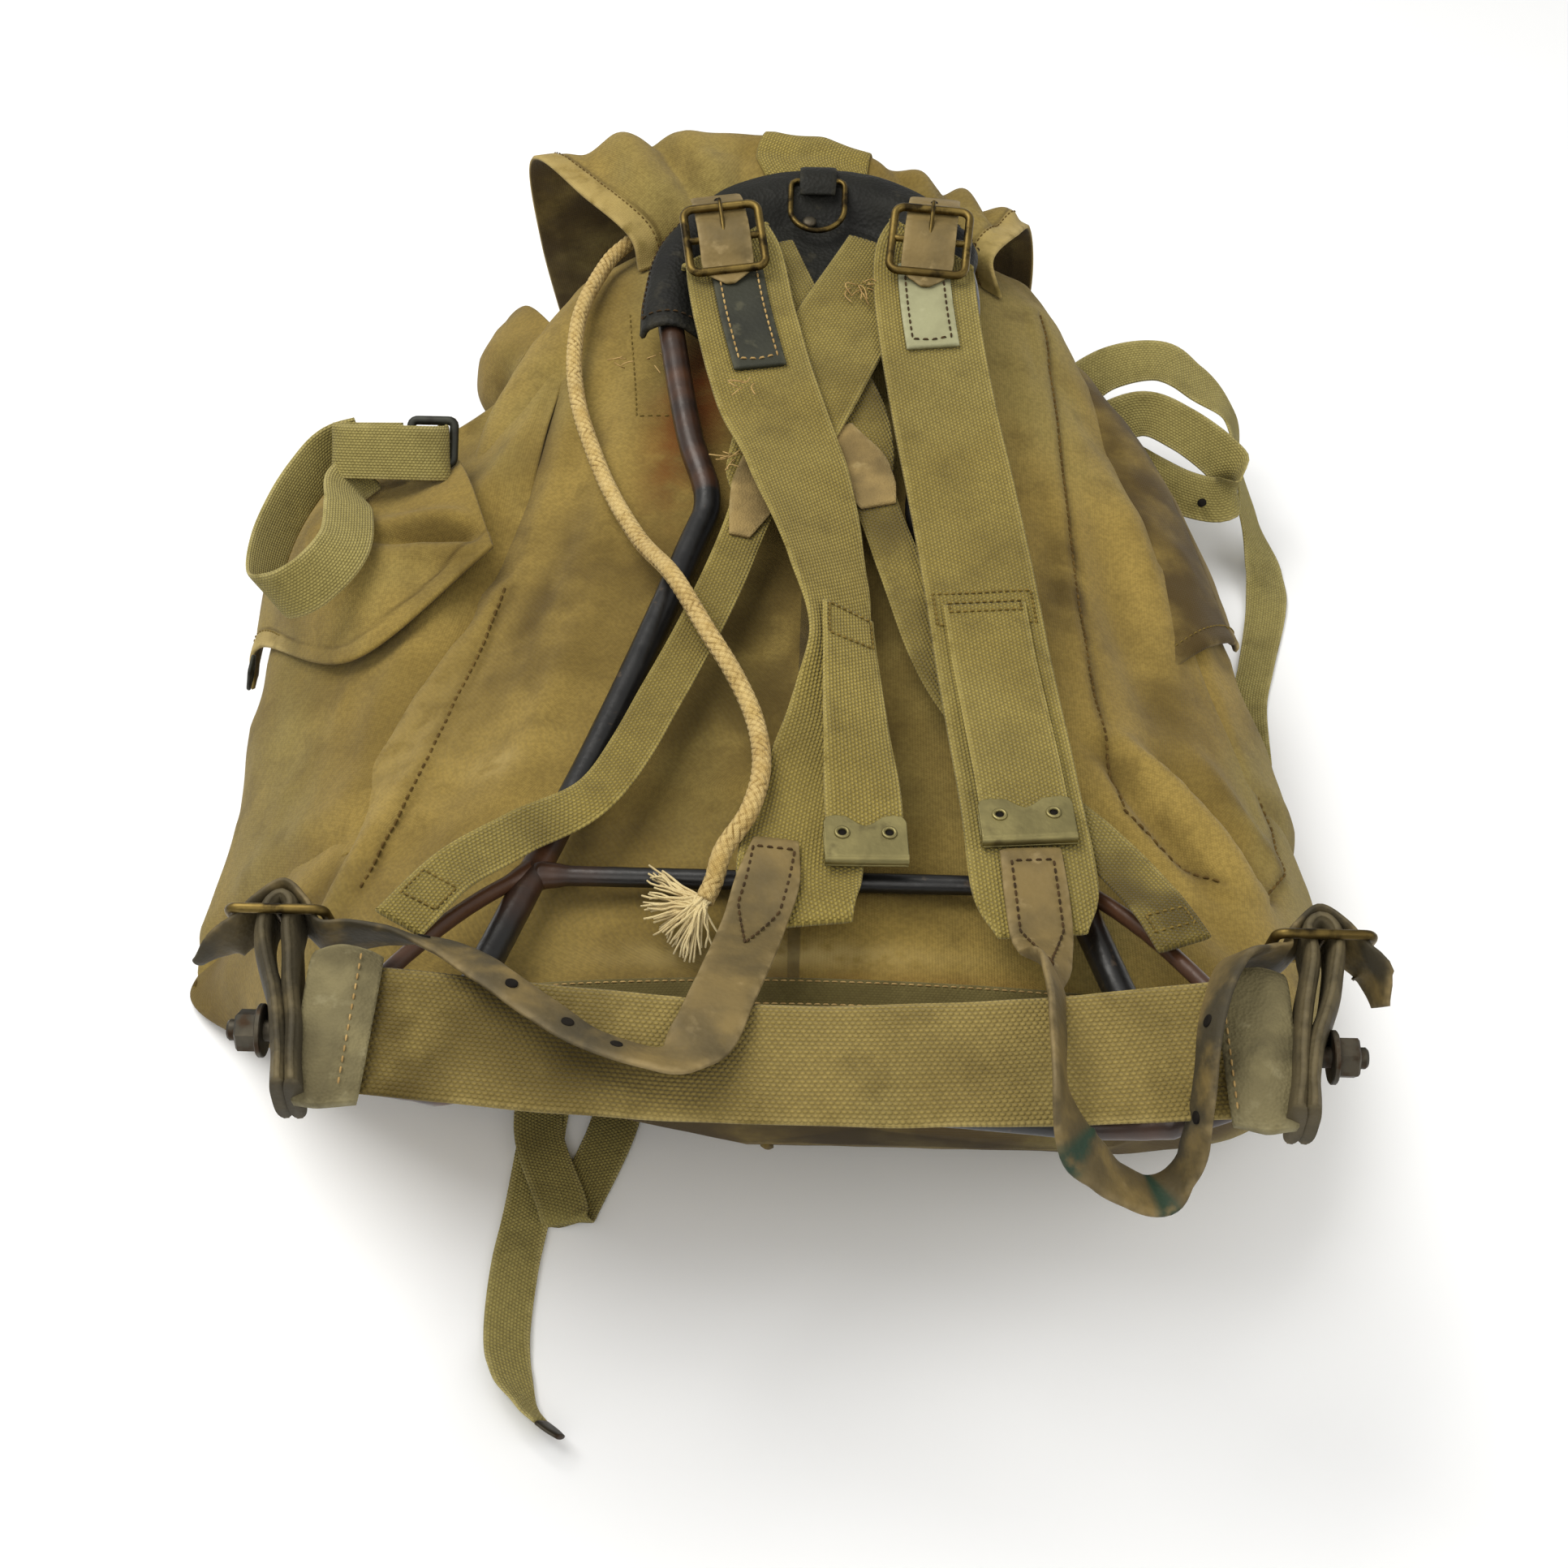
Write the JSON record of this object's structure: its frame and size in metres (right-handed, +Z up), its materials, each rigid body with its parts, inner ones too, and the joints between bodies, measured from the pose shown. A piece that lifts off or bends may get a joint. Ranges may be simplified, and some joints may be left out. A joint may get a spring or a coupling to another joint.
{
  "type": "military rucksack",
  "caption": "Canvas rucksack on a steel A-frame lying on its front, back panel up, with webbing shoulder straps, leather yoke, waist belt, side pockets and drawstring.",
  "frame": {"origin": "on the floor under the flat front of the sack, in the middle of its width", "axes": "+X to the wearer's right-hand side of the picture, +Y from the base of the sack to its lid, +Z up from the floor through the back panel"},
  "size_m": [0.5618, 0.7558, 0.2359],
  "materials": {
    "canvas": "worn tan duck canvas",
    "webbing": "coarse woven cotton webbing",
    "black_leather": "black leather, worn matt",
    "brown_leather": "brown strap leather, faded",
    "grey_leather": "grey suede, dry",
    "brass": "dull tarnished brass",
    "steel": "dark rusted steel",
    "paint": "black paint over steel tube, chipped",
    "rope": "braided cotton rope"
  },
  "bodies": {
    "pack": {"sack": "canvas", "lid": "canvas", "side_pocket_left": "canvas", "side_pocket_right": "canvas", "pocket_flap_left": "canvas", "pocket_flap_right": "canvas", "side_sleeve_left": "canvas", "shoulder_strap_right": "webbing", "shoulder_strap_left": "webbing", "cross_strap_left": "webbing", "cross_strap_right": "webbing", "strap_tab_right": "webbing", "strap_tab_left": "webbing", "base_binding": "webbing", "belt": "webbing", "pocket_strap_left": "webbing", "pocket_loop_left": "webbing", "pocket_strap_right": "webbing", "pocket_loop_right": "webbing", "base_strap": "webbing", "base_tail": "webbing", "yoke": "black_leather", "ring_tab": "black_leather", "buckle_chape_left": "black_leather", "end_strap_left": "brown_leather", "end_strap_right": "brown_leather", "top_billet_left": "brown_leather", "top_billet_right": "brown_leather", "cross_patch_left": "brown_leather", "cross_patch_right": "brown_leather", "buckle_chape_right": "grey_leather", "lower_chape_left": "grey_leather", "lower_chape_right": "grey_leather", "belt_end_left": "grey_leather", "belt_end_right": "grey_leather", "strap_tip_right": "brass", "strap_tip_left": "brass", "top_buckle_left": "brass", "top_buckle_right": "brass", "lower_buckle_left": "brass", "lower_buckle_right": "brass", "yoke_rivet": "steel", "frame_bolt_left": "steel", "frame_bolt_right": "steel", "pocket_slide_left": "steel", "flap_buckle_left": "steel", "base_strap_tip": "steel", "frame": "paint", "rope": "rope", "rope_fray": "rope"},
    "ring": {"d_ring": "steel"}
  },
  "joints": [
    {"name": "ring_hinge", "type": "hinge", "parent": "pack", "child": "ring", "pos_m": [-0.002, 0.3815, 0.2029], "axis": [-1, 0, 0], "range_deg": [0, 140]}
  ]
}
